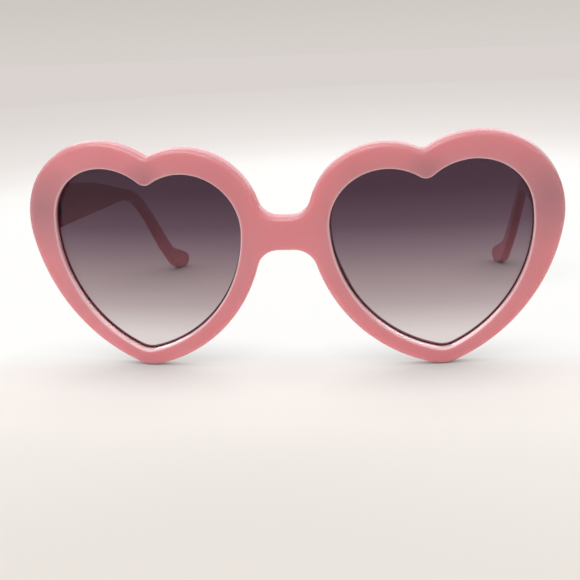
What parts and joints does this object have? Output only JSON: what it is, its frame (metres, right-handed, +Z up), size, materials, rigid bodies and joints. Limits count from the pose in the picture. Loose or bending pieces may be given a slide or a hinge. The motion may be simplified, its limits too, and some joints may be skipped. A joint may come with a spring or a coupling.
{
  "type": "heart shaped sunglasses",
  "caption": "Glossy pink plastic sunglasses with heart shaped rims, graded tinted lenses and folding temples on small screwed hinges.",
  "frame": {"origin": "on the table under the middle of the open glasses", "axes": "+X to the wearer's left, +Y from the front to the ears, +Z up"},
  "size_m": [0.1458, 0.1556, 0.0637],
  "materials": {
    "pink_plastic": "glossy, slightly milky moulded plastic",
    "graded_tint": "clear polished plastic, purple grey tint fading downwards",
    "hinge_steel": "plain nickel grey"
  },
  "bodies": {
    "front": {"front_frame": "pink_plastic", "lens_left": "graded_tint", "lens_right": "graded_tint", "hinge_front_leaf_left": "hinge_steel", "hinge_front_leaf_right": "hinge_steel", "hinge_screw_left": "hinge_steel", "hinge_screw_right": "hinge_steel"},
    "temple_left": {"temple_left": "pink_plastic", "hinge_temple_leaf_left": "hinge_steel"},
    "temple_right": {"temple_right": "pink_plastic", "hinge_temple_leaf_right": "hinge_steel"}
  },
  "joints": [
    {"name": "temple_left_fold", "type": "hinge", "parent": "front", "child": "temple_left", "pos_m": [0.0672, -0.05551, 0.0444], "axis": [0, 0, 1], "range_deg": [0, 90]},
    {"name": "temple_right_fold", "type": "hinge", "parent": "front", "child": "temple_right", "pos_m": [-0.0672, -0.05551, 0.0444], "axis": [0, 0, -1], "range_deg": [0, 85]}
  ]
}
